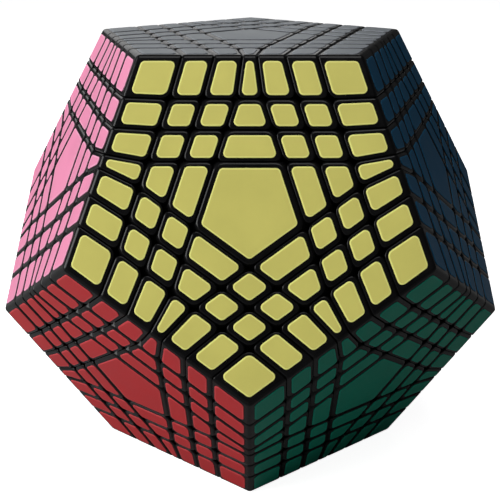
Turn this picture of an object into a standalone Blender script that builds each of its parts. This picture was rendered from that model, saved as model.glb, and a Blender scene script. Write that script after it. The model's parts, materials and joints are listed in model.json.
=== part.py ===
"""A dodecahedral twisty puzzle with seven layers along every edge, standing on one of its twelve faces.

The frame's origin is the centre of the core, +Z is up and the face called front_upper looks towards -Y.
Each piece of the mechanism is one object. The six layers parallel to the top and bottom faces are
separate turned rings, so each can turn about Z. The grooves on a layer are the outlines of its pieces.
"""

import math

import bmesh
import bpy
from mathutils import Matrix, Vector

MM = 0.001

EDGE = 52 * MM  # edge of the dodecahedron, which gives 115.8 mm between opposite faces
CUTS = (0.204 * EDGE, 0.343 * EDGE, 0.484 * EDGE)  # cut lines on a face, from the face's edge
CUTS_ON_EDGE = (0.205 * EDGE, 0.347 * EDGE, 0.470 * EDGE)  # where they meet an edge, from its corner
GAP = 0.3 * MM  # clearance between neighbouring pieces
GROOVE_HALF_WIDTH = 0.6 * MM
GROOVE_DEPTH = 0.8 * MM

HUB_RADIUS = 12 * MM
ARM_RADIUS = 4 * MM
ARM_END = 20 * MM  # distance of an arm's end from the centre
PILOT_RADIUS = 1.55 * MM
PILOT_BOTTOM = 9.6 * MM

SCREW_RADIUS = 1.25 * MM
SCREW_TIP = 10 * MM
SCREW_HEAD_RADIUS = 3.0 * MM
SCREW_HEAD_UNDER = 30 * MM
SCREW_HEAD_TOP = 32.4 * MM

STALK_RADIUS = 6 * MM
STALK_BORE = 3.7 * MM
STALK_END = ARM_END + GAP
SHOULDER_TOP = 22.5 * MM  # the spring presses on this shoulder inside the stalk
SHOULDER_BORE = 1.7 * MM
STALK_BORE_TOP = 42 * MM

SPRING_RADIUS = 2.5 * MM
SPRING_WIRE = 0.35 * MM  # radius of the wire
SPRING_TURNS = 3.5
SPRING_POINTS_PER_TURN = 8

BORE_RADIUS = 7 * MM  # the tunnels that the stalks run through
CAVITY_RADIUS = 32 * MM

TURNED_STEPS = 72
OUTSIDE = 1.5 * EDGE  # further out than any corner of the puzzle

SIN_DIHEDRAL = 2 / math.sqrt(5)
COS_DIHEDRAL = 1 / math.sqrt(5)
SIN_CORNER = math.sin(math.radians(72))
GOLDEN = (1 + math.sqrt(5)) / 2
IN_RADIUS = EDGE * GOLDEN**2 / (2 * math.sqrt(3 - GOLDEN))  # centre to a face
FACE_RADIUS = EDGE / (2 * math.sin(math.radians(36)))  # middle of a face to its corner
FACE_APOTHEM = FACE_RADIUS * math.cos(math.radians(36))
TILT = math.degrees(math.atan(0.5))  # elevation of a side face's normal

BLACK = (0.012, 0.012, 0.013)
NYLON = (0.55, 0.55, 0.52)
STEEL = (0.55, 0.56, 0.58)

# name: (azimuth and elevation of the face's normal in degrees, colour of its centre)
FACES = {
    "top": (0, 90, (0.16, 0.17, 0.18)),
    "front_upper": (-90, TILT, (0.52, 0.49, 0.12)),
    "right_upper": (-18, TILT, (0.004, 0.03, 0.10)),
    "back_right_upper": (54, TILT, (0.80, 0.20, 0.02)),
    "back_left_upper": (126, TILT, (0.20, 0.55, 0.08)),
    "left_upper": (-162, TILT, (0.85, 0.27, 0.44)),
    "front_left_lower": (-126, -TILT, (0.42, 0.03, 0.04)),
    "front_right_lower": (-54, -TILT, (0.004, 0.10, 0.05)),
    "right_lower": (18, -TILT, (0.16, 0.03, 0.30)),
    "back_lower": (90, -TILT, (0.75, 0.66, 0.42)),
    "left_lower": (162, -TILT, (0.10, 0.42, 0.70)),
    "bottom": (0, -90, (0.80, 0.80, 0.80)),
}

# name: azimuth of the corner
TOP_CORNERS = {"front_left": -126, "front_right": -54, "right": 18, "back": 90, "left": 162}
BOTTOM_CORNERS = {"front": -90, "right": -18, "back_right": 54, "back_left": 126, "left": -162}


def depth(cut):
    """How far below a neighbouring face's plane a cut line lies."""
    return cut * SIN_DIHEDRAL


def clear_scene():
    for obj in list(bpy.data.objects):
        bpy.data.objects.remove(obj)


def collection(name, hidden=False):
    made = bpy.data.collections.new(name)
    made.hide_render = hidden
    bpy.context.scene.collection.children.link(made)
    return made


def material(name, colour, roughness=0.3, metallic=0.0):
    made = bpy.data.materials.new(name)
    made.use_nodes = True
    shader = made.node_tree.nodes["Principled BSDF"]
    shader.inputs["Base Color"].default_value = (*colour, 1)
    shader.inputs["Roughness"].default_value = roughness
    shader.inputs["Metallic"].default_value = metallic
    return made


def mesh_object(name, mesh, where):
    obj = bpy.data.objects.new(name, mesh)
    where.objects.link(obj)
    if where is CUTTERS:
        obj.display_type = "WIRE"
        obj.hide_render = True
    return obj


def object_from_bmesh(name, bm, where):
    bmesh.ops.recalc_face_normals(bm, faces=bm.faces)
    mesh = bpy.data.meshes.new(name)
    bm.to_mesh(mesh)
    bm.free()
    return mesh_object(name, mesh, where)


def boolean(obj, operation, other):
    """Adds an exact Boolean with an object or with every object of a collection."""
    modifier = obj.modifiers.new(operation.title(), "BOOLEAN")
    modifier.operation = operation
    modifier.solver = "EXACT"
    if isinstance(other, bpy.types.Collection):
        modifier.operand_type = "COLLECTION"
        modifier.collection = other
    else:
        modifier.object = other
    return modifier


def turned(name, profile, where, steps=TURNED_STEPS):
    """A solid of revolution about Z. The profile runs down its outer side, as (radius, height)."""
    mesh = bpy.data.meshes.new(name)
    points = [(radius, 0, height) for radius, height in profile]
    ends = [(i, i + 1) for i in range(len(points) - 1)]
    if profile[0][0] > 0:
        ends.append((len(points) - 1, 0))
    mesh.from_pydata(points, ends, [])
    obj = mesh_object(name, mesh, where)
    screw = obj.modifiers.new("Screw", "SCREW")
    screw.axis = "Z"
    screw.angle = 2 * math.pi
    screw.steps = steps
    screw.render_steps = steps
    screw.use_merge_vertices = True
    screw.merge_threshold = 0.00001
    return obj


def apply_modifiers(obj):
    """Swaps an object's modifiers for the mesh they make, with its round surfaces shaded smooth."""
    graph = bpy.context.evaluated_depsgraph_get()
    mesh = bpy.data.meshes.new_from_object(obj.evaluated_get(graph))
    obj.modifiers.clear()
    obj.data = mesh
    mesh.shade_smooth()
    mesh.set_sharp_from_angle(angle=math.radians(30))


def cylinder(name, radius, low, high, where, sides=24):
    bm = bmesh.new()
    place = Matrix.Translation((0, 0, (low + high) / 2))
    bmesh.ops.create_cone(
        bm,
        cap_ends=True,
        segments=sides,
        radius1=radius,
        radius2=radius,
        depth=high - low,
        matrix=place,
    )
    return object_from_bmesh(name, bm, where)


def direction(azimuth, elevation):
    a, e = math.radians(azimuth), math.radians(elevation)
    return Vector((math.cos(e) * math.cos(a), math.cos(e) * math.sin(a), math.sin(e)))


def face_frame(face):
    """Axes of a face: +Z is its normal and +X points at one of its corners."""
    azimuth, elevation, _ = FACES[face]
    normal = direction(azimuth, elevation)
    if face == "top":
        to_corner = direction(TOP_CORNERS["back"], 0)
    elif face == "bottom":
        to_corner = direction(BOTTOM_CORNERS["front"], 0)
    else:
        point = Vector((0, 0, -1 if elevation > 0 else 1))
        to_corner = (point - normal * point.dot(normal)).normalized()
    across = normal.cross(to_corner)
    return Matrix((to_corner, across, normal)).transposed().to_4x4()


def face_corners(face):
    frame = face_frame(face)
    corners = []
    for i in range(5):
        angle = math.radians(72 * i)
        spot = Vector((FACE_RADIUS * math.cos(angle), FACE_RADIUS * math.sin(angle), IN_RADIUS))
        corners.append(frame @ spot)
    return corners


def grid_point(corners, i, row, column):
    """Where the cut `row` of edge i meets the cut `column` of edge i - 1. Cut 0 is the edge itself."""
    lines = (0, *CUTS)
    along = (corners[(i + 1) % 5] - corners[i]).normalized()
    back = (corners[i - 1] - corners[i]).normalized()
    s, t = lines[row] / SIN_CORNER, lines[column] / SIN_CORNER
    if row == 0 and column > 0:
        t = CUTS_ON_EDGE[column - 1]
    if column == 0 and row > 0:
        s = CUTS_ON_EDGE[row - 1]
    return corners[i] + along * t + back * s


def face_cells(face):
    """The outlines that the cuts make on a face: 45 rhombi, 15 trapezoids and the centre."""
    corners = face_corners(face)
    cells = [[grid_point(corners, i, 3, 3) for i in range(5)]]
    for i in range(5):
        for row in range(3):
            for column in range(3):
                around = ((row, column), (row, column + 1), (row + 1, column + 1), (row + 1, column))
                cells.append([grid_point(corners, i, r, c) for r, c in around])
            j = (i + 1) % 5
            near = [grid_point(corners, i, row, 3), grid_point(corners, j, 3, row)]
            far = [grid_point(corners, j, 3, row + 1), grid_point(corners, i, row + 1, 3)]
            cells.append(near + far)
    return cells


def piece_of(cell):
    """Which layer of each axis holds a cell. Cells of one piece share the answer."""
    middle = sum(cell, Vector()) / len(cell)
    zones = []
    for azimuth, elevation, _ in FACES.values():
        below = IN_RADIUS - middle.dot(direction(azimuth, elevation))
        zones.append(sum(below > depth(cut) for cut in CUTS))
    return tuple(zones)


def sink_grooves(bm, rim):
    """Pushes in the corners that only rim faces share, which makes a V-groove round every piece."""
    normals = [direction(azimuth, elevation) for azimuth, elevation, _ in FACES.values()]
    for vertex in bm.verts:
        if not all(face in rim for face in vertex.link_faces):
            for normal in normals:
                vertex.co -= normal * max(0, vertex.co.dot(normal) - IN_RADIUS)
            continue
        touching = [n for n in normals if IN_RADIUS - vertex.co.dot(n) < 0.01 * MM]
        lean = sum(touching, Vector())
        vertex.co -= lean * (GROOVE_DEPTH / lean.dot(touching[0]))


def grooved_shell():
    """The whole dodecahedron as one closed mesh, with a groove along every outline of a piece."""
    bm = bmesh.new()
    tag = bm.faces.layers.int.new("piece")
    numbers = {}
    for face in FACES:
        for cell in face_cells(face):
            made = bm.faces.new([bm.verts.new(point) for point in cell])
            made[tag] = numbers.setdefault(piece_of(cell), len(numbers))
    bmesh.ops.remove_doubles(bm, verts=bm.verts, dist=0.01 * MM)
    bmesh.ops.recalc_face_normals(bm, faces=bm.faces)
    pieces = {}
    for face in bm.faces:
        pieces.setdefault(face[tag], []).append(face)
    rim = set()
    for faces in pieces.values():
        inset = bmesh.ops.inset_region(
            bm, faces=faces, thickness=GROOVE_HALF_WIDTH, use_boundary=True, use_even_offset=True
        )
        rim.update(inset["faces"])
    sink_grooves(bm, rim)
    mesh = bpy.data.meshes.new("grooved_shell")
    bm.to_mesh(mesh)
    bm.free()
    return mesh


def cut_surface(index, shift):
    """(radius, height) points of a cut under the top face: flat, then a cone near the face's rim."""
    cut, on_edge = CUTS[index], CUTS_ON_EDGE[index]
    height = IN_RADIUS - depth(cut)
    out = FACE_APOTHEM + cut * COS_DIHEDRAL
    half_width = EDGE / 2 + cut * math.tan(math.radians(18)) - CUTS[0] / SIN_CORNER
    flat_radius = math.hypot(out, half_width)
    edge_radius = FACE_RADIUS * (1 + (GOLDEN - 1) * on_edge / EDGE)
    edge_height = IN_RADIUS - on_edge * SIN_DIHEDRAL * SIN_CORNER
    slope = (edge_height - height) / (edge_radius - flat_radius)
    rim_radius = 1.2 * EDGE
    rim_height = height + slope * (rim_radius - flat_radius)
    return [
        (0, height + shift),
        (flat_radius, height + shift),
        (rim_radius, rim_height + shift),
        (OUTSIDE, rim_height + shift),
    ]


def mirrored(profile):
    """The same outline upside down, still running from top to bottom."""
    return [(radius, -height) for radius, height in reversed(profile)]


def layer_outlines():
    """The solids, turned about Z, that part the puzzle into seven layers. Each has half a gap off."""
    above = IN_RADIUS + 5 * MM
    roofs = [cut_surface(i, -GAP / 2) for i in range(3)]
    floors = [cut_surface(i, GAP / 2)[::-1] for i in range(3)]
    outer = [(0, above), (OUTSIDE, above), *floors[0]]
    second = roofs[0] + floors[1]
    third = roofs[1] + floors[2]
    profiles = {
        "top_outer_layer": outer,
        "top_second_layer": second,
        "top_third_layer": third,
        "middle_band": roofs[2] + mirrored(roofs[2]),
        "bottom_third_layer": mirrored(third),
        "bottom_second_layer": mirrored(second),
        "bottom_outer_layer": mirrored(outer),
    }
    return {name: turned(f"{name}_outline", profile, CUTTERS) for name, profile in profiles.items()}


def prism(name, apothem, low, high, where, bevel=0.0):
    """A five-sided prism about Z, with one corner towards +X and its top edges bevelled."""
    radius = apothem / math.cos(math.radians(36))
    obj = cylinder(name, radius, low, high, where, sides=5)
    turn = Matrix.Rotation(-math.pi / 2, 4, "Z")
    obj.data.transform(turn)
    if bevel:
        bm = bmesh.new()
        bm.from_mesh(obj.data)
        edges = [e for e in bm.edges if all(v.co.z > high - 0.01 * MM for v in e.verts)]
        bmesh.ops.bevel(bm, geom=edges, offset=bevel, segments=2, profile=0.5, affect="EDGES")
        bm.to_mesh(obj.data)
        bm.free()
    return obj


def corner_block(name, azimuth, top, shift):
    """The block that a corner's three outer cuts leave, its planes moved inwards by `shift`."""
    up = 1 if top else -1
    tip = direction(azimuth, 0) * FACE_RADIUS + Vector((0, 0, up * IN_RADIUS))
    down = (direction(azimuth, 0) * (GOLDEN - 1) - Vector((0, 0, up))).normalized()
    left, right = (-direction(azimuth + turn, 0) for turn in (-54, 54))
    crossing = CUTS[0] / SIN_CORNER
    cap = Vector((0, 0, up))
    normals, lows = [cap], [IN_RADIUS - depth(CUTS[0]) - shift]
    for near, far in ((left, right), (right, left)):
        on_edge = tip + near * CUTS_ON_EDGE[0]
        on_cap = tip + (near + far) * crossing
        on_side = tip + (near + down) * crossing
        normal = (on_cap - on_edge).cross(on_side - on_edge).normalized()
        normal *= math.copysign(1, normal.dot(tip - on_edge))
        normals.append(normal)
        lows.append(normal.dot(on_edge) - shift)
    planes = Matrix(normals).inverted()
    span = 0.6 * EDGE
    bm = bmesh.new()
    for a in (lows[0], lows[0] + span):
        for b in (lows[1], lows[1] + span):
            for c in (lows[2], lows[2] + span):
                bm.verts.new(planes @ Vector((a, b, c)))
    bmesh.ops.convex_hull(bm, input=bm.verts)
    return object_from_bmesh(name, bm, CUTTERS)


def stalk_profile():
    """The tube under a centre piece: an open bore, a shoulder for the spring, then a wide bore."""
    top = IN_RADIUS - depth(CUTS[0]) + 1 * MM
    return [
        (0, top),
        (STALK_RADIUS, top),
        (STALK_RADIUS, STALK_END),
        (SHOULDER_BORE, STALK_END),
        (SHOULDER_BORE, SHOULDER_TOP),
        (STALK_BORE, SHOULDER_TOP),
        (STALK_BORE, STALK_BORE_TOP),
        (0, STALK_BORE_TOP),
    ]


def centre_piece_mesh():
    """The five-sided centre of a face with its stalk, which reaches down to the hub's arm."""
    low = IN_RADIUS - depth(CUTS[0]) + GAP / 2
    apothem = FACE_APOTHEM - CUTS[2] - GAP / 2
    whole = prism("centre_piece_shape", apothem, low, IN_RADIUS, CUTTERS, bevel=0.5 * MM)
    boolean(whole, "UNION", turned("stalk", stalk_profile(), CUTTERS, steps=20))
    apply_modifiers(whole)
    return whole.data


def centre_piece(face, mesh, shade):
    obj = mesh_object(f"centre_piece_{face}", mesh.copy(), PARTS)
    obj.matrix_world = face_frame(face)
    obj.data.materials.append(shade)


def screw(face, shade):
    """A round-headed screw through a stalk into the hub's arm."""
    dome = 0.6 * MM
    profile = [
        (0, SCREW_HEAD_TOP),
        (SCREW_HEAD_RADIUS - dome, SCREW_HEAD_TOP),
        (SCREW_HEAD_RADIUS, SCREW_HEAD_TOP - dome),
        (SCREW_HEAD_RADIUS, SCREW_HEAD_UNDER),
        (SCREW_RADIUS, SCREW_HEAD_UNDER),
        (SCREW_RADIUS, SCREW_TIP + 1 * MM),
        (0, SCREW_TIP),
    ]
    obj = turned(f"axle_screw_{face}", profile, PARTS, steps=16)
    apply_modifiers(obj)
    obj.matrix_world = face_frame(face)
    obj.data.materials.append(shade)


def spring(face, shade):
    """A coil between the stalk's shoulder and the screw's head."""
    clear = SPRING_WIRE + 0.15 * MM
    low, high = SHOULDER_TOP + clear, SCREW_HEAD_UNDER - clear
    count = round(SPRING_TURNS * SPRING_POINTS_PER_TURN)
    curve = bpy.data.curves.new(f"tension_spring_{face}", "CURVE")
    curve.dimensions = "3D"
    curve.bevel_depth = SPRING_WIRE
    curve.bevel_resolution = 1
    curve.use_fill_caps = True
    line = curve.splines.new("POLY")
    line.points.add(count)
    for i, point in enumerate(line.points):
        angle = 2 * math.pi * i / SPRING_POINTS_PER_TURN
        height = low + (high - low) * i / count
        point.co = (SPRING_RADIUS * math.cos(angle), SPRING_RADIUS * math.sin(angle), height, 1)
    obj = bpy.data.objects.new(curve.name, curve)
    PARTS.objects.link(obj)
    obj.matrix_world = face_frame(face)
    curve.materials.append(shade)


def core_hub(shade):
    """The ball in the middle with an arm for each face and a pilot hole down each arm."""
    arms = collection("hub_arms", hidden=True)
    pilots = collection("hub_pilot_holes", hidden=True)
    for face in FACES:
        for name, radius, low, high, where in (
            ("hub_arm", ARM_RADIUS, HUB_RADIUS - 3 * MM, ARM_END, arms),
            ("pilot_hole", PILOT_RADIUS, PILOT_BOTTOM, ARM_END + 2 * MM, pilots),
        ):
            tool = cylinder(f"{name}_{face}", radius, low, high, where, sides=14)
            tool.matrix_world = face_frame(face)
            tool.display_type = "WIRE"
            tool.hide_render = True
    bm = bmesh.new()
    bmesh.ops.create_uvsphere(bm, u_segments=20, v_segments=12, radius=HUB_RADIUS)
    obj = object_from_bmesh("core_hub", bm, PARTS)
    boolean(obj, "UNION", arms)
    boolean(obj, "DIFFERENCE", pilots)
    apply_modifiers(obj)
    obj.data.materials.append(shade)


def tunnels():
    """Cutters for the cavity round the hub and for the side centre pieces' pockets and stalks."""
    where = collection("tunnels", hidden=True)
    low = IN_RADIUS - depth(CUTS[0]) - GAP / 2
    apothem = FACE_APOTHEM - CUTS[2] + GAP / 2
    bm = bmesh.new()
    bmesh.ops.create_uvsphere(bm, u_segments=32, v_segments=20, radius=CAVITY_RADIUS)
    made = [object_from_bmesh("hub_cavity", bm, where)]
    for face in FACES:
        tools = [cylinder(f"tunnel_{face}", BORE_RADIUS, CAVITY_RADIUS - 6 * MM, low + 2 * MM, where)]
        if face not in ("top", "bottom"):
            tools.append(prism(f"pocket_{face}", apothem, low, IN_RADIUS + 5 * MM, where))
        for tool in tools:
            tool.matrix_world = face_frame(face)
        made += tools
    for tool in made:
        tool.display_type = "WIRE"
        tool.hide_render = True
    return where


def layers(shell, outlines, black):
    """Seven layers from the grooved shell, with room for the centre pieces and their stalks."""
    apothem = FACE_APOTHEM - CUTS[2] + GAP / 2
    bore = cylinder("stalk_bore", BORE_RADIUS, -OUTSIDE, OUTSIDE, CUTTERS)
    inside = tunnels()
    made = {}
    for name, outline in outlines.items():
        obj = mesh_object(name, shell.copy(), PARTS)
        boolean(obj, "INTERSECT", outline)
        if name == "middle_band":
            boolean(obj, "DIFFERENCE", inside)
        elif "outer" in name:
            face = "top" if name.startswith("top") else "bottom"
            pocket = prism(f"{face}_pocket", apothem, IN_RADIUS / 2, OUTSIDE, CUTTERS)
            pocket.matrix_world = face_frame(face)
            boolean(obj, "DIFFERENCE", pocket)
        else:
            boolean(obj, "DIFFERENCE", bore)
        obj.data.materials.append(black)
        made[name] = obj
    return made


def corner_pieces(shell, outlines, made, black):
    """The corner pieces of the top and bottom layers, each cut out of the layer it sits in."""
    for face, corners in (("top", TOP_CORNERS), ("bottom", BOTTOM_CORNERS)):
        seats = collection(f"{face}_corner_seats", hidden=True)
        for name, azimuth in corners.items():
            place = f"{face}_{name}"
            obj = mesh_object(f"corner_piece_{place}", shell.copy(), PARTS)
            boolean(obj, "INTERSECT", corner_block(f"{place}_block", azimuth, face == "top", -GAP / 2))
            boolean(obj, "INTERSECT", outlines[f"{face}_outer_layer"])
            obj.data.materials.append(black)
            seat = corner_block(f"{place}_seat", azimuth, face == "top", GAP / 2)
            CUTTERS.objects.unlink(seat)
            seats.objects.link(seat)
        boolean(made[f"{face}_outer_layer"], "DIFFERENCE", seats)


def build():
    black = material("black_plastic", BLACK, roughness=0.25)
    steel = material("steel", STEEL, roughness=0.3, metallic=1.0)
    shell = grooved_shell()
    outlines = layer_outlines()
    made = layers(shell, outlines, black)
    corner_pieces(shell, outlines, made, black)
    core_hub(material("hub_plastic", NYLON, roughness=0.5))
    centre = centre_piece_mesh()
    for face, (_, _, colour) in FACES.items():
        centre_piece(face, centre, material(f"sticker_{face}", colour))
        screw(face, steel)
        spring(face, steel)


clear_scene()
PARTS = collection("dodecahedral_twisty_puzzle")
CUTTERS = collection("cutters", hidden=True)
build()
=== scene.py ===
"""The look of a dodecahedral twisty puzzle with seven layers along every edge.

Each visible piece is a rounded plastic block held between the puzzle's cutting surfaces, and each has
one vinyl sticker per outer face. A shape is modelled once, on a face that looks up with a corner
towards +X, and the sixty turns of the solid onto itself place all of its copies.
"""

import json
import math

import bmesh
import bpy
import numpy as np
from mathutils import Matrix, Vector

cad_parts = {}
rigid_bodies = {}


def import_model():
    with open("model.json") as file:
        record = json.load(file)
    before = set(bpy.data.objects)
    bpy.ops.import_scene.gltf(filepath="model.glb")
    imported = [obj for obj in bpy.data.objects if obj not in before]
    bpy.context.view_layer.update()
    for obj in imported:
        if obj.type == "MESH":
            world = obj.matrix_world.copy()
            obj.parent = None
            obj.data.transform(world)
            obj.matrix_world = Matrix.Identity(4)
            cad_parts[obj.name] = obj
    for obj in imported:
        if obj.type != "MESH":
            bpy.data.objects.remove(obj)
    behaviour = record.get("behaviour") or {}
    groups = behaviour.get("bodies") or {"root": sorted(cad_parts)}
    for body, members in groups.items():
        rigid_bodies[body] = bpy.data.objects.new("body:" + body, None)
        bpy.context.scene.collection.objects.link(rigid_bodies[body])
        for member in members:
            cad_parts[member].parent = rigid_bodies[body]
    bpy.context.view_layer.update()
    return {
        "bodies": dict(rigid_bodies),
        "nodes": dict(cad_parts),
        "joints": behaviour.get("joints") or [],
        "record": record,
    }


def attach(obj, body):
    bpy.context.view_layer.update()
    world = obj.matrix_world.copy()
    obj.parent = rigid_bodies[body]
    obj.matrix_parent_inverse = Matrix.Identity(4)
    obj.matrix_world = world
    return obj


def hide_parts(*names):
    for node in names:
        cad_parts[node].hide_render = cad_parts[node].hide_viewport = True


MM = 0.001

EDGE = 52 * MM  # edge of the dodecahedron
CUTS = (0.204 * EDGE, 0.343 * EDGE, 0.484 * EDGE)  # cut lines on a face, from the face's edge
CUTS_ON_EDGE = (0.205 * EDGE, 0.347 * EDGE, 0.470 * EDGE)  # where they meet an edge, from its corner
HALF_GAP = 0.07 * MM  # half the clearance between neighbouring pieces

EDGE_ROUNDING = 0.8 * MM  # bevel along the dodecahedron's edges
SIDE_ROUNDING = 1.7 * MM  # bevel where two sides of a piece meet
RIM_ROUNDING = 0.5 * MM  # bevel between a piece's outer face and its sides
FEET_REACH = 1.5 * MM  # how far a layer's feet stand inside the next layer out
FEET_ROOT = 3.0 * MM  # how far they run back into their own layer
FEET_THICKNESS = 1.5 * MM
FEET_GRIP = 0.3 * MM  # how far they sink into their own blocks
FEET_CLEARANCE = 0.4 * MM  # from the next layer's blocks
FEET_STEPS = 72
WELL_INSIDE = 0.95  # from the core to a point inside a middle edge piece, over its radius
HEAD_DEPTH = 3.0 * MM  # how far down the rounded edges go, above a piece's square foot
FLOOR_ROUNDING = 0.3 * MM  # bevel round a piece's inner face

STICKER_THICKNESS = 0.15 * MM
STICKER_MARGIN = 0.0202 * EDGE  # from a cut line
STICKER_EDGE_MARGIN = 0.0298 * EDGE  # from the dodecahedron's edge
CENTRE_STICKER_MARGIN = 0.0245 * EDGE  # round the middle of a face
SLANT_STICKER_MARGIN = 0.0175 * EDGE  # on the slanted sides of a trapezoid
STICKER_CORNER = 1.1 * MM  # radius of a sticker's corners
STICKER_INNER_CORNER = 1.7 * MM  # radius of the corner that points at the middle of the face
STICKER_LIP = 0.06 * MM  # the rounded top edge of a sticker
STICKER_PAINTED_HIGHLIGHT_WIDTH = 0.36 * MM  # width of the paler band round a sticker's edge, a painted highlight
STICKER_CROWN = 0.01 * MM  # from the lip up to the flat middle
STICKER_SINK = 0.02 * MM  # how far a sticker sinks into the plastic
SMALLEST_CORNER = 0.2 * MM
SIDE_SHARE = 0.48  # most of a side that a rounded corner may take
ARC_STEPS = 5

STALK_RADIUS = 6 * MM
STALK_BORE = 3.7 * MM
STALK_END = 20.3 * MM
SHOULDER_TOP = 22.5 * MM
SHOULDER_BORE = 1.7 * MM
STALK_BORE_TOP = 42 * MM
STALK_STEPS = 48
STALK_OVERLAP = 0.5 * MM  # how far a stalk runs up into its centre block
STALK_ROUNDING = 0.2 * MM

SIN_DIHEDRAL = 2 / math.sqrt(5)
FIFTH = 72  # degrees, a fifth of a turn
SIN_CORNER = math.sin(math.radians(FIFTH))
GOLDEN = (1 + math.sqrt(5)) / 2
IN_RADIUS = EDGE * GOLDEN**2 / (2 * math.sqrt(3 - GOLDEN))  # centre to a face
FACE_RADIUS = EDGE / (2 * math.sin(math.radians(FIFTH / 2)))  # middle of a face to its corner
TILT = math.degrees(math.atan(0.5))  # elevation of a side face's normal
SURFACE = IN_RADIUS - STICKER_THICKNESS  # the plastic under the stickers
FLOOR_DEPTH = CUTS[0] * SIN_DIHEDRAL - HALF_GAP  # how deep the blocks of a face's inner pieces go

ROOM_LIGHT = 0.04  # from all round, on top of the softboxes
FLOOR_SIZE = 8  # half the floor's width, in metres
FLOOR_GLOW = 0.92
FLOOR_WHITE = (0.9, 0.9, 0.9, 1)
FLOOR_CARD = (0.3, 0.3, 0.3, 1)  # what the puzzle reflects
FLOOR_DROP = 0.02 * MM  # from the puzzle's lowest face

UP = Vector((0, 0, 1))
BACK, SIDE, OUTSIDE = 0, 1, 2  # kinds of face on a block
CREASE = math.radians(30)  # a smaller angle is within one flat or bent side
TOUCHING = 1e-7  # points nearer a cutting plane than this lie on it

CAMERA_PLACE = (0.01535 * EDGE, -4.46353 * EDGE, 1.67163 * EDGE)
CAMERA_AZIMUTH = 90.22
CAMERA_ELEVATION = -21.50
CAMERA_FIELD_OF_VIEW = 33.085

# name: (azimuth and elevation of the normal in degrees, colour of the stickers, colour of their rims, made
# paler as a painted highlight along their edges)
FACES = {
    "top": (0, 90, (0.17, 0.19, 0.21), (0.24, 0.26, 0.29)),
    "front_upper": (-90, TILT, (0.80, 0.74, 0.19), (1.0, 0.97, 0.28)),
    "right_upper": (-18, TILT, (0.001, 0.058, 0.128), (0.003, 0.085, 0.18)),
    "back_right_upper": (54, TILT, (0.80, 0.20, 0.02), (0.90, 0.30, 0.05)),
    "back_left_upper": (126, TILT, (0.20, 0.55, 0.08), (0.30, 0.68, 0.14)),
    "left_upper": (-162, TILT, (0.85, 0.284, 0.46), (0.90, 0.38, 0.56)),
    "front_left_lower": (-126, -TILT, (0.60, 0.035, 0.040), (0.72, 0.07, 0.08)),
    "front_right_lower": (-54, -TILT, (0.001, 0.33, 0.21), (0.003, 0.42, 0.28)),
    "right_lower": (18, -TILT, (0.16, 0.03, 0.30), (0.24, 0.06, 0.40)),
    "back_lower": (90, -TILT, (0.75, 0.66, 0.42), (0.85, 0.78, 0.55)),
    "left_lower": (162, -TILT, (0.10, 0.42, 0.70), (0.18, 0.52, 0.80)),
    "bottom": (0, -90, (0.80, 0.80, 0.80), (0.90, 0.90, 0.90)),
}
TOP_CORNERS = {"front_left": -126, "front_right": -54, "right": 18, "back": 90, "left": 162}
BOTTOM_CORNERS = {"front": -90, "right": -18, "back_right": 54, "back_left": 126, "left": -162}
LAYERS = (
    "top_outer",
    "top_second",
    "top_third",
    "core_and_middle_band",
    "bottom_third",
    "bottom_second",
    "bottom_outer",
)
LAYER_NODES = {
    "top_outer": "top_outer_layer",
    "top_second": "top_second_layer",
    "top_third": "top_third_layer",
    "core_and_middle_band": "middle_band",
    "bottom_third": "bottom_third_layer",
    "bottom_second": "bottom_second_layer",
    "bottom_outer": "bottom_outer_layer",
}


# ---------------------------------------------------------------- the solid


def direction(azimuth, elevation):
    a, e = math.radians(azimuth), math.radians(elevation)
    return Vector((math.cos(e) * math.cos(a), math.cos(e) * math.sin(a), math.sin(e)))


def face_frame(face):
    """Axes of a face: +Z is its normal and +X points at one of its corners."""
    azimuth, elevation = FACES[face][:2]
    normal = direction(azimuth, elevation)
    if face == "top":
        to_corner = direction(TOP_CORNERS["back"], 0)
    elif face == "bottom":
        to_corner = direction(BOTTOM_CORNERS["front"], 0)
    else:
        point = Vector((0, 0, -1 if elevation > 0 else 1))
        to_corner = (point - normal * point.dot(normal)).normalized()
    across = normal.cross(to_corner)
    return Matrix((to_corner, across, normal)).transposed()


def corner(i):
    """Corner i of the face that looks up."""
    return direction(FIFTH * i, 0) * FACE_RADIUS + UP * IN_RADIUS


def neighbour(i):
    """Normal of the face across the edge from corner i to corner i + 1."""
    return direction(FIFTH * (i + 0.5), TILT)


def edge_directions(i):
    """Unit vectors along the three edges that leave corner i: to the next, to the last, and down."""
    to_next = (corner(i + 1) - corner(i)).normalized()
    to_last = (corner(i - 1) - corner(i)).normalized()
    down = (direction(FIFTH * i, 0) * (GOLDEN - 1) - UP).normalized()
    return to_next, to_last, down


def grid_point(i, row, column):
    """Where cut `row` from edge i meets cut `column` from edge i - 1. Cut 0 is the edge itself."""
    lines = (0, *CUTS)
    to_next, to_last, _ = edge_directions(i)
    along, back = lines[column] / SIN_CORNER, lines[row] / SIN_CORNER
    if row == 0 and column > 0:
        along = CUTS_ON_EDGE[column - 1]
    if column == 0 and row > 0:
        back = CUTS_ON_EDGE[row - 1]
    return corner(i) + to_next * along + to_last * back


# ---------------------------------------------------------------- planes, as (outward normal, distance)


def beyond(normal, cut):
    """The side of a face's cut that is nearer the face."""
    return -normal, -(IN_RADIUS - CUTS[cut] * SIN_DIHEDRAL + HALF_GAP)


def inside(normal, cut):
    """The side of a face's cut that is nearer the centre."""
    return normal, IN_RADIUS - CUTS[cut] * SIN_DIHEDRAL - HALF_GAP


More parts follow.
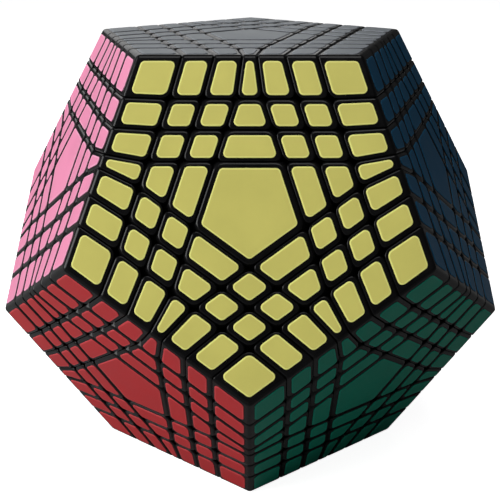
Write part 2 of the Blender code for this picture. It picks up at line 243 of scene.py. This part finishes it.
def bent_cut(i, which, cut, towards_corner):
    """A cut's surface in the outer ring, where it crosses one of the three edges at corner i."""
    directions = edge_directions(i)
    along = directions[which]
    others = [other for j, other in enumerate(directions) if j != which]
    on_edge = corner(i) + along * CUTS_ON_EDGE[cut]
    deep = [
        corner(i) + along * (CUTS[cut] / SIN_CORNER) + other * (CUTS[0] / SIN_CORNER) for other in others
    ]
    normal = (deep[0] - on_edge).cross(deep[1] - on_edge).normalized()
    if (normal.dot(along) > 0) != towards_corner:
        normal = -normal
    return normal, normal.dot(on_edge) - HALF_GAP


# ---------------------------------------------------------------- blocks


def clip(bm, normal, distance):
    """Cuts off what lies beyond a plane, and returns the new flat faces."""
    everything = bm.verts[:] + bm.edges[:] + bm.faces[:]
    made = bmesh.ops.bisect_plane(
        bm, geom=everything, plane_co=normal * distance, plane_no=normal, clear_outer=True, dist=TOUCHING
    )
    rim = [item for item in made["geom_cut"] if isinstance(item, bmesh.types.BMEdge)]
    return bmesh.ops.edgeloop_fill(bm, edges=rim)["faces"] if rim else []


def clipped_block(sides, outsides):
    """A convex block inside all of the planes, with each face tagged by its kind."""
    bm = bmesh.new()
    bmesh.ops.create_cube(bm, size=4 * EDGE)
    kind = bm.faces.layers.int.new("kind")
    for tag, planes in ((SIDE, sides), (OUTSIDE, outsides)):
        for normal, distance in planes:
            for face in clip(bm, normal, distance):
                face[kind] = tag
    bmesh.ops.recalc_face_normals(bm, faces=bm.faces)
    return bm


def edges_between(bm, kinds):
    """The edges between faces of these two kinds, apart from those within one flat or bent side."""
    kind = bm.faces.layers.int["kind"]
    return [
        edge
        for edge in bm.edges
        if sorted(face[kind] for face in edge.link_faces) == sorted(kinds)
        and edge.calc_face_angle(0) > CREASE
    ]


def split_sides(bm, outsides):
    """Lines across the sides, where a piece's rounded edges end and its square foot begins."""
    kind = bm.faces.layers.int["kind"]
    for normal, distance in outsides:
        faces = [face for face in bm.faces if face[kind] == SIDE]
        edges = [edge for edge in bm.edges if any(face[kind] == SIDE for face in edge.link_faces)]
        verts = [vert for vert in bm.verts if any(face[kind] == SIDE for face in vert.link_faces)]
        bmesh.ops.bisect_plane(
            bm,
            geom=verts + edges + faces,
            plane_co=normal * (distance - HEAD_DEPTH),
            plane_no=normal,
            dist=TOUCHING,
        )


def in_head(edge, outsides):
    middle = (edge.verts[0].co + edge.verts[1].co) / 2
    return any(normal.dot(middle) > distance - HEAD_DEPTH for normal, distance in outsides)


def round_edges(bm, edges, width, steps, tag):
    """Bevels these edges, and tags the new faces."""
    kind = bm.faces.layers.int["kind"]
    if not edges:
        return
    made = bmesh.ops.bevel(
        bm,
        geom=edges,
        offset=width,
        offset_type="OFFSET",
        segments=steps,
        profile=0.5,
        affect="EDGES",
        clamp_overlap=True,
    )
    for face in made["faces"]:
        face[kind] = tag


def shape_of(bm):
    """(points, normals, faces, shades) of a mesh. A point's normal leans towards its largest faces."""
    bm.normal_update()
    bm.verts.index_update()
    points = np.array([vertex.co for vertex in bm.verts])
    normals = []
    for vertex in bm.verts:
        lean = sum((face.normal * face.calc_area() for face in vertex.link_faces), Vector())
        normals.append(lean.normalized())
    faces = [[vertex.index for vertex in face.verts] for face in bm.faces]
    shades = [face.material_index for face in bm.faces]
    bm.free()
    return points, np.array(normals), faces, shades


def block(sides, outsides, floors=(), flats=()):
    """A piece's plastic: a convex block with rounded edges, cut back deep down along the planes in flats."""
    bm = clipped_block([*sides, *floors], outsides)
    kind = bm.faces.layers.int["kind"]
    for face in bm.faces:
        if any(face.normal.dot(normal) > 0.9999 for normal, _ in floors):
            face[kind] = BACK
    split_sides(bm, outsides)
    round_edges(bm, edges_between(bm, (OUTSIDE, OUTSIDE)), EDGE_ROUNDING, 3, OUTSIDE)
    corners = [edge for edge in edges_between(bm, (SIDE, SIDE)) if in_head(edge, outsides)]
    round_edges(bm, corners, SIDE_ROUNDING, 3, SIDE)
    round_edges(bm, edges_between(bm, (OUTSIDE, SIDE)), RIM_ROUNDING, 3, SIDE)
    round_edges(bm, edges_between(bm, (BACK, SIDE)), FLOOR_ROUNDING, 1, SIDE)
    for normal, distance in flats:
        clip(bm, normal, distance)
    bmesh.ops.recalc_face_normals(bm, faces=bm.faces)
    return shape_of(bm)


TOP_PLANE = (UP, SURFACE)
SIDE_PLANE = (neighbour(0), SURFACE)
FLOOR_PLANE = (-UP, -(IN_RADIUS - FLOOR_DEPTH))


def corner_block():
    """Three outer faces that meet at corner 0."""
    sides = [bent_cut(0, which, 0, True) for which in range(3)]
    flats = [beyond(normal, 0) for normal in (UP, neighbour(0), neighbour(4))]
    return block(sides, [TOP_PLANE, SIDE_PLANE, (neighbour(4), SURFACE)], flats=flats)


def edge_block(near, far):
    """A piece on edge 0, between cut `near` and cut `far` from corner 0."""
    sides = [beyond(UP, 0), beyond(neighbour(0), 0), bent_cut(0, 0, near, False), bent_cut(0, 0, far, True)]
    return block(sides, [TOP_PLANE, SIDE_PLANE], flats=[beyond(neighbour(4), far)])


def middle_edge_block():
    """The piece in the middle of edge 0."""
    sides = [beyond(UP, 0), beyond(neighbour(0), 0), bent_cut(0, 0, 2, False), bent_cut(1, 1, 2, False)]
    return block(sides, [TOP_PLANE, SIDE_PLANE])


def rhombus_block(row, column):
    """An inner piece of a face, between two cuts from edge 0 and two from edge 4."""
    sides = [
        inside(neighbour(0), row - 1),
        beyond(neighbour(0), row),
        inside(neighbour(4), column - 1),
        beyond(neighbour(4), column),
    ]
    return block(sides, [TOP_PLANE], [FLOOR_PLANE])


def trapezoid_block(row):
    """An inner piece of a face, in front of the middle of edge 0."""
    sides = [
        inside(neighbour(0), row - 1),
        beyond(neighbour(0), row),
        inside(neighbour(4), 2),
        inside(neighbour(1), 2),
    ]
    return block(sides, [TOP_PLANE], [FLOOR_PLANE])


def centre_block():
    return block([inside(neighbour(i), 2) for i in range(5)], [TOP_PLANE], [FLOOR_PLANE])


def turned(profile, steps, closed):
    """A profile of (radius, height) turned round the up axis. An open one gets a flat face at each end."""
    bm = bmesh.new()
    angles = [360 * i / steps for i in range(steps)]
    rings = [
        [bm.verts.new(direction(angle, 0) * radius + UP * height) for angle in angles]
        for radius, height in profile
    ]
    following = rings[1:] + rings[:1] if closed else rings[1:]
    for ring, other in zip(rings, following):
        for i in range(steps):
            j = (i + 1) % steps
            bm.faces.new((ring[i], other[i], other[j], ring[j]))
    if not closed:
        bm.faces.new(rings[0])
        bm.faces.new(rings[-1])
    bmesh.ops.recalc_face_normals(bm, faces=bm.faces)
    return bm


def stalk():
    """The tube that carries a centre piece, bored for the screw, the spring and the spring's shoulder."""
    top = IN_RADIUS - FLOOR_DEPTH + STALK_OVERLAP
    profile = [
        (STALK_RADIUS, top),
        (STALK_RADIUS, STALK_END),
        (SHOULDER_BORE, STALK_END),
        (SHOULDER_BORE, SHOULDER_TOP),
        (STALK_BORE, SHOULDER_TOP),
        (STALK_BORE, STALK_BORE_TOP),
    ]
    bm = turned(profile, STALK_STEPS, closed=False)
    edges = [edge for edge in bm.edges if edge.calc_face_angle(0) > CREASE]
    bmesh.ops.bevel(bm, geom=edges, offset=STALK_ROUNDING, segments=2, profile=0.5, affect="EDGES")
    return shape_of(bm)


def hollow_radius(height):
    """The distance from the turning axis to the back of the blocks, at a height above the core."""
    return (IN_RADIUS - FLOOR_DEPTH - height * neighbour(0).z) / SIN_DIHEDRAL


def feet(cut):
    """The feet at one cut of the up face, as a ring that holds the layer below and reaches past the cut."""
    plane = IN_RADIUS - CUTS[cut] * SIN_DIHEDRAL
    shoulder, root = plane - HALF_GAP, plane - FEET_ROOT
    top = plane + (FEET_REACH if cut else HALF_GAP / 2)
    radius = hollow_radius(plane + FEET_REACH) - FEET_CLEARANCE
    profile = [
        (radius, top),
        (radius, shoulder),
        (hollow_radius(shoulder) + FEET_GRIP, shoulder),
        (hollow_radius(root) + FEET_GRIP, root),
        (radius - FEET_THICKNESS, root),
        (radius - FEET_THICKNESS, top),
    ]
    return shape_of(turned(profile, FEET_STEPS, closed=True))


# ---------------------------------------------------------------- stickers


def inset_outline(points, margins):
    """The outline with side i, from point i to the next, moved in by margins[i]."""
    count = len(points)
    lines = []
    for i, margin in enumerate(margins):
        along = points[(i + 1) % count] - points[i]
        along = along / np.linalg.norm(along)
        lines.append((points[i] + margin * np.array((-along[1], along[0])), along))
    moved = []
    for i in range(count):
        (a, u), (b, v) = lines[i - 1], lines[i]
        reach = np.linalg.solve(np.array((u, -v)).T, b - a)[0]
        moved.append(a + u * reach)
    return moved


def rounded_outline(points, radii):
    """The outline with its corners replaced by arcs, as far as its sides have room for them."""
    made = []
    count = len(points)
    for i, point in enumerate(points):
        back, ahead = points[i - 1] - point, points[(i + 1) % count] - point
        sides = np.linalg.norm(back), np.linalg.norm(ahead)
        back, ahead = back / sides[0], ahead / sides[1]
        half = math.acos(np.clip(back.dot(ahead), -1, 1)) / 2
        radius = min(radii[i], SIDE_SHARE * min(sides) * math.tan(half))
        middle = back + ahead
        centre = point + middle / np.linalg.norm(middle) * (radius / math.sin(half))
        start = point + back * (radius / math.tan(half)) - centre
        sweep = math.pi - 2 * half
        for step in range(ARC_STEPS + 1):
            angle = sweep * step / ARC_STEPS
            turn = np.array(((math.cos(angle), -math.sin(angle)), (math.sin(angle), math.cos(angle))))
            made.append(centre + turn @ start)
    return made


def sticker(outline, margins, radii):
    """A thin plate with a lip round its top, and a paler rim that is a painted highlight along its edge."""
    levels = (
        (0, SURFACE - STICKER_SINK),
        (0, IN_RADIUS - STICKER_LIP),
        (STICKER_LIP, IN_RADIUS - STICKER_CROWN),
        (STICKER_PAINTED_HIGHLIGHT_WIDTH, IN_RADIUS),
    )
    bm = bmesh.new()
    rings = []
    for inset, height in levels:
        moved = inset_outline(outline, [margin + inset for margin in margins])
        ring = rounded_outline(moved, [max(radius - inset, SMALLEST_CORNER) for radius in radii])
        rings.append([bm.verts.new((x, y, height)) for x, y in ring])
    # The sides, the lip and the band inside it take the second material, the sticker's colour made paler as a
    # painted highlight.
    for lower, upper in zip(rings, rings[1:]):
        for i in range(len(lower)):
            j = (i + 1) % len(lower)
            bm.faces.new((lower[i], lower[j], upper[j], upper[i])).material_index = 1
    bm.faces.new(rings[-1])
    return shape_of(bm)


def flat(points):
    return [np.array(point[:2]) for point in points]


def rhombus_sticker(row, column):
    around = ((row, column), (row, column + 1), (row + 1, column + 1), (row + 1, column))
    outline = flat(grid_point(0, r, c) for r, c in around)
    margins = [STICKER_MARGIN] * 4
    if row == 0:
        margins[0] = STICKER_EDGE_MARGIN
    if column == 0:
        margins[3] = STICKER_EDGE_MARGIN
    radii = [STICKER_CORNER] * 4
    if row == column == 0:
        radii[2] = STICKER_INNER_CORNER
    return sticker(outline, margins, radii)


def trapezoid_sticker(row):
    near = [grid_point(0, row, 3), grid_point(1, 3, row)]
    far = [grid_point(1, 3, row + 1), grid_point(0, row + 1, 3)]
    margins = [STICKER_MARGIN, SLANT_STICKER_MARGIN] * 2
    if row == 0:
        margins[0] = STICKER_EDGE_MARGIN
    return sticker(flat(near + far), margins, [STICKER_CORNER] * 4)


def centre_sticker():
    outline = flat(grid_point(i, 3, 3) for i in range(5))
    return sticker(outline, [CENTRE_STICKER_MARGIN] * 5, [STICKER_CORNER] * 5)


# ---------------------------------------------------------------- putting copies together


class Heap:
    """Placed shapes that become one object."""

    def __init__(self):
        self.points, self.normals, self.faces, self.shades = [], [], [], []
        self.count = 0

    def add(self, shape, turn):
        points, normals, faces, shades = shape
        turn = np.array(turn)
        self.points.append(points @ turn.T)
        self.normals.append(normals @ turn.T)
        self.faces += [[index + self.count for index in face] for face in faces]
        self.shades += shades
        self.count += len(points)

    def make(self, name, body, slot, materials):
        mesh = bpy.data.meshes.new(name)
        mesh.from_pydata(np.concatenate(self.points).tolist(), [], self.faces)
        mesh.polygons.foreach_set("material_index", self.shades)
        mesh.shade_smooth()
        mesh.normals_split_custom_set_from_vertices(np.concatenate(self.normals).tolist())
        for shade in materials:
            mesh.materials.append(shade)
        obj = bpy.data.objects.new(name, mesh)
        bpy.context.scene.collection.objects.link(obj)
        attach(obj, body)
        return obj


def turns():
    """The sixty turns of the solid onto itself, each as (face, i, matrix). A turn carries the up face onto
    that face, and corner 0 onto its corner i.
    """
    for face in FACES:
        frame = face_frame(face)
        for i in range(5):
            yield face, i, frame @ Matrix.Rotation(math.radians(FIFTH * i), 3, "Z")


def layer_at(place):
    """The body that holds a point on the surface."""
    depths = [cut * SIN_DIHEDRAL for cut in CUTS]
    from_top = sum(IN_RADIUS - place.z > deep for deep in depths)
    from_bottom = sum(IN_RADIUS + place.z > deep for deep in depths)
    return LAYERS[from_top if from_top < len(CUTS) else len(LAYERS) - 1 - from_bottom]


def middle(points):
    return sum(points, Vector()) / len(points)


def cell_middle(row, column):
    """A point well inside a cell of the up face. Column 3 is the trapezoid of edge 0."""
    if column == 3:
        return middle([grid_point(0, row, 3), grid_point(1, 3, row + 1)])
    return middle([grid_point(0, row, column), grid_point(0, row + 1, column + 1)])


def is_new(place, seen):
    """True the first time that a place comes up."""
    key = tuple(round(value / MM) for value in place)
    known = key in seen
    seen.add(key)
    return not known


def plastic_pieces(black):
    """The 530 blocks round the centre pieces. The outer layers' corner pieces are objects of their own, and
    the others are joined by layer and kind.
    """
    heaps = {}
    shapes = {
        "edge_pieces": [
            (edge_block(0, 1), cell_middle(0, 1)),
            (edge_block(1, 2), cell_middle(0, 2)),
            (middle_edge_block(), middle([corner(0), corner(1)]) * WELL_INSIDE),
        ],
        "face_pieces": [
            (rhombus_block(row, column), cell_middle(row, column)) for row in (1, 2) for column in (1, 2)
        ]
        + [(trapezoid_block(row), cell_middle(row, 3)) for row in (1, 2)],
        "corner_pieces": [(corner_block(), corner(0))],
    }
    seen = set()
    for _, _, turn in turns():
        for kind, members in shapes.items():
            for shape, spot in members:
                place = turn @ spot
                if not is_new(place, seen):
                    continue
                body = layer_at(place)
                name = f"{body}_{kind}"
                if kind == "corner_pieces" and "outer" in body:
                    name = outer_corner_name(body, place)
                heaps.setdefault((name, body), Heap()).add(shape, turn)
    made = {}
    for (name, body), heap in heaps.items():
        made[name] = heap.make(name, body, "black_plastic", [black])
    return made


def outer_corner_name(body, place):
    """The name of the top or bottom corner piece at this place."""
    side, corners = ("top", TOP_CORNERS) if body == "top_outer" else ("bottom", BOTTOM_CORNERS)
    azimuth = math.degrees(math.atan2(place.y, place.x))
    near = min(corners, key=lambda name: abs((azimuth - corners[name] + 180) % 360 - 180))
    return f"{side}_{near}_corner_block"


def feet_rings(black):
    """The feet of the second, third and middle layers, which close the cuts from inside."""
    for side in ("top", "bottom"):
        for cut, layer in enumerate(("second", "third", "middle")):
            heap = Heap()
            heap.add(feet(cut), face_frame(side))
            body = "core_and_middle_band" if layer == "middle" else f"{side}_{layer}"
            heap.make(f"{side}_{layer}_layer_feet", body, "black_plastic", [black])


def centre_pieces(black):
    shape, tube = centre_block(), stalk()
    made = {}
    for face in FACES:
        body = f"{face}_outer" if face in ("top", "bottom") else "core_and_middle_band"
        heap = Heap()
        heap.add(shape, face_frame(face))
        heap.add(tube, face_frame(face))
        made[face] = heap.make(f"{face}_centre_block", body, "black_plastic", [black])
        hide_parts(f"centre_piece_{face}")
    return made


def stickers(shades):
    """732 stickers, one object for each face and layer."""
    rows = range(len(CUTS))
    shapes = [(rhombus_sticker(row, column), cell_middle(row, column)) for row in rows for column in rows]
    shapes += [(trapezoid_sticker(row), cell_middle(row, len(CUTS))) for row in rows]
    centre = centre_sticker()
    heaps = {}
    for face, i, turn in turns():
        for shape, spot in shapes:
            heaps.setdefault((face, layer_at(turn @ spot)), Heap()).add(shape, turn)
        if i == 0:
            body = layer_at(turn @ (UP * IN_RADIUS))
            heaps.setdefault((face, body), Heap()).add(centre, turn)
    for (face, body), heap in heaps.items():
        heap.make(f"{face}_stickers_{body}", body, f"sticker_{face}", shades[face])


# ---------------------------------------------------------------- materials


def node_material(name):
    made = bpy.data.materials.new(name)
    made.use_nodes = True
    return made, made.node_tree.nodes, made.node_tree.links, made.node_tree.nodes["Principled BSDF"]


def noise(nodes, links, scale, detail=3.0):
    """Noise over the object's own coordinates."""
    where = nodes.new("ShaderNodeTexCoord")
    made = nodes.new("ShaderNodeTexNoise")
    made.inputs["Scale"].default_value = scale
    made.inputs["Detail"].default_value = detail
    links.new(where.outputs["Object"], made.inputs["Vector"])
    return made.outputs["Fac"]


def ramp(nodes, links, source, low, high):
    """A colour ramp from one colour to another over the middle of the noise's range."""
    made = nodes.new("ShaderNodeValToRGB")
    made.color_ramp.elements[0].position = 0.3
    made.color_ramp.elements[0].color = (*low, 1)
    made.color_ramp.elements[1].position = 0.7
    made.color_ramp.elements[1].color = (*high, 1)
    links.new(source, made.inputs["Fac"])
    return made.outputs["Color"]


def spread(nodes, links, source, low, high):
    made = nodes.new("ShaderNodeMapRange")
    made.inputs["From Min"].default_value = 0.3
    made.inputs["From Max"].default_value = 0.7
    made.inputs["To Min"].default_value = low
    made.inputs["To Max"].default_value = high
    links.new(source, made.inputs["Value"])
    return made.outputs["Result"]


def bump(nodes, links, source, strength, distance):
    made = nodes.new("ShaderNodeBump")
    made.inputs["Strength"].default_value = strength
    made.inputs["Distance"].default_value = distance
    links.new(source, made.inputs["Height"])
    return made.outputs["Normal"]


def scaled(colour, factor):
    return tuple(min(1.0, value * factor) for value in colour)


def uneven(name, scale, detail, colours, roughness):
    """A material with its colour and its roughness both varied by one noise, between the two values given."""
    made, nodes, links, shader = node_material(name)
    patches = noise(nodes, links, scale, detail)
    links.new(ramp(nodes, links, patches, *colours), shader.inputs["Base Color"])
    links.new(spread(nodes, links, patches, *roughness), shader.inputs["Roughness"])
    return made, nodes, links, shader


def black_plastic():
    """Moulded black plastic: glossy, with a faint texture and handling marks in its gloss."""
    blacks = (0.004, 0.004, 0.0045), (0.007, 0.007, 0.0075)
    made, nodes, links, shader = uneven("black_plastic", 260, 6, blacks, (0.16, 0.26))
    links.new(bump(nodes, links, noise(nodes, links, 2600, 2), 0.08, 0.05 * MM), shader.inputs["Normal"])
    shader.inputs["Specular IOR Level"].default_value = 0.18
    return made


def vinyl(name, colour, roughness=0.42):
    """Sticker vinyl: satin, with a fine grain and a slight unevenness of colour."""
    shades = scaled(colour, 0.96), scaled(colour, 1.04)
    made, nodes, links, shader = uneven(name, 90, 4, shades, (roughness - 0.04, roughness + 0.04))
    links.new(bump(nodes, links, noise(nodes, links, 5200, 2), 0.06, 0.03 * MM), shader.inputs["Normal"])
    shader.inputs["Specular IOR Level"].default_value = 0.25
    return made


def nylon():
    return uneven("hub_nylon", 300, 4, ((0.50, 0.50, 0.46), (0.60, 0.60, 0.56)), (0.42, 0.55))[0]


def steel():
    steels = (0.48, 0.49, 0.51), (0.62, 0.63, 0.65)
    made, _, _, shader = uneven("bright_steel", 900, 5, steels, (0.22, 0.36))
    shader.inputs["Metallic"].default_value = 1.0
    return made


# ---------------------------------------------------------------- studio


def floor_material():
    """White to the eye, with a faint shadow, and a darker card to the light that reaches the puzzle."""
    made = bpy.data.materials.new("studio_white")
    made.use_nodes = True
    nodes, links = made.node_tree.nodes, made.node_tree.links
    nodes.remove(nodes["Principled BSDF"])
    glow = nodes.new("ShaderNodeEmission")
    glow.inputs["Strength"].default_value = FLOOR_GLOW
    white = nodes.new("ShaderNodeBsdfDiffuse")
    white.inputs["Color"].default_value = FLOOR_WHITE
    card = nodes.new("ShaderNodeBsdfDiffuse")
    card.inputs["Color"].default_value = FLOOR_CARD
    seen = nodes.new("ShaderNodeAddShader")
    links.new(glow.outputs["Emission"], seen.inputs[0])
    links.new(white.outputs["BSDF"], seen.inputs[1])
    choice = nodes.new("ShaderNodeMixShader")
    links.new(nodes.new("ShaderNodeLightPath").outputs["Is Camera Ray"], choice.inputs["Fac"])
    links.new(card.outputs["BSDF"], choice.inputs[1])
    links.new(seen.outputs["Shader"], choice.inputs[2])
    links.new(choice.outputs["Shader"], nodes["Material Output"].inputs["Surface"])
    return made


def studio_floor():
    bm = bmesh.new()
    bmesh.ops.create_grid(bm, x_segments=1, y_segments=1, size=FLOOR_SIZE)
    mesh = bpy.data.meshes.new("studio_floor")
    bm.to_mesh(mesh)
    bm.free()
    floor = bpy.data.objects.new("studio_floor", mesh)
    floor.location.z = -IN_RADIUS - FLOOR_DROP
    mesh.materials.append(floor_material())
    bpy.context.scene.collection.objects.link(floor)


def softbox(name, azimuth, elevation, distance, size, power):
    """A flat light at this azimuth, elevation and distance from the puzzle, aimed at it."""
    light = bpy.data.lights.new(name, "AREA")
    light.shape = "RECTANGLE"
    light.size, light.size_y = size
    light.energy = power
    obj = bpy.data.objects.new(name, light)
    away = direction(azimuth, elevation)
    obj.location = away * distance
    obj.rotation_euler = away.to_track_quat("Z", "Y").to_euler()
    obj.visible_camera = False
    bpy.context.scene.collection.objects.link(obj)


def studio_light():
    """Three softboxes and a faint light from all round, with a background that is white to the eye."""
    world = bpy.data.worlds.new("studio")
    world.use_nodes = True
    nodes, links = world.node_tree.nodes, world.node_tree.links
    room = nodes["Background"]
    room.inputs["Strength"].default_value = ROOM_LIGHT
    backdrop = nodes.new("ShaderNodeBackground")
    room.inputs["Color"].default_value = (1, 1, 1, 1)
    backdrop.inputs["Color"].default_value = (1, 1, 1, 1)
    choice = nodes.new("ShaderNodeMixShader")
    links.new(nodes.new("ShaderNodeLightPath").outputs["Is Camera Ray"], choice.inputs["Fac"])
    links.new(room.outputs["Background"], choice.inputs[1])
    links.new(backdrop.outputs["Background"], choice.inputs[2])
    links.new(choice.outputs["Shader"], nodes["World Output"].inputs["Surface"])
    bpy.context.scene.world = world
    softbox("left_softbox", 200, 22, distance=0.8, size=(0.5, 0.5), power=5.6)
    softbox("back_panel", 112, 26, distance=0.9, size=(1.0, 0.5), power=1.4)
    softbox("overhead_softbox", -80, 74, distance=1.0, size=(0.6, 0.6), power=3.6)


def camera():
    lens = bpy.data.cameras.new("camera")
    lens.sensor_fit = "HORIZONTAL"
    lens.angle = math.radians(CAMERA_FIELD_OF_VIEW)
    lens.clip_start = 0.01
    obj = bpy.data.objects.new("camera", lens)
    obj.location = CAMERA_PLACE
    aim = direction(CAMERA_AZIMUTH, CAMERA_ELEVATION)
    obj.rotation_euler = aim.to_track_quat("-Z", "Y").to_euler()
    bpy.context.scene.collection.objects.link(obj)
    bpy.context.scene.camera = obj


def clear_startup_scene():
    for obj in list(bpy.data.objects):
        bpy.data.objects.remove(obj)


def build():
    black = black_plastic()
    shades = {}
    for face, (_, _, colour, rim) in FACES.items():
        # Each face's second material is its rim colour, paler than the sticker: a painted highlight along the
        # stickers' edges.
        shades[face] = [vinyl(f"vinyl_{face}", colour), vinyl(f"vinyl_painted_highlight_{face}", rim, 0.5)]
    made = plastic_pieces(black)
    for body, node in LAYER_NODES.items():
        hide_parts(node)
    for side, corners in (("top", TOP_CORNERS), ("bottom", BOTTOM_CORNERS)):
        for name in corners:
            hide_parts(f"corner_piece_{side}_{name}")
    feet_rings(black)
    centre_pieces(black)
    stickers(shades)


def refinish(nodes):
    """Better materials for the CAD nodes that stay."""
    hub, bright = nylon(), steel()
    for name, node in nodes.items():
        if name == "core_hub":
            node.material_slots[0].material = hub
        elif name.startswith(("axle_screw", "tension_spring")):
            node.material_slots[0].material = bright


clear_startup_scene()
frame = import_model()
build()
refinish(frame["nodes"])
studio_floor()
studio_light()
camera()
bpy.context.scene.view_settings.view_transform = "Standard"
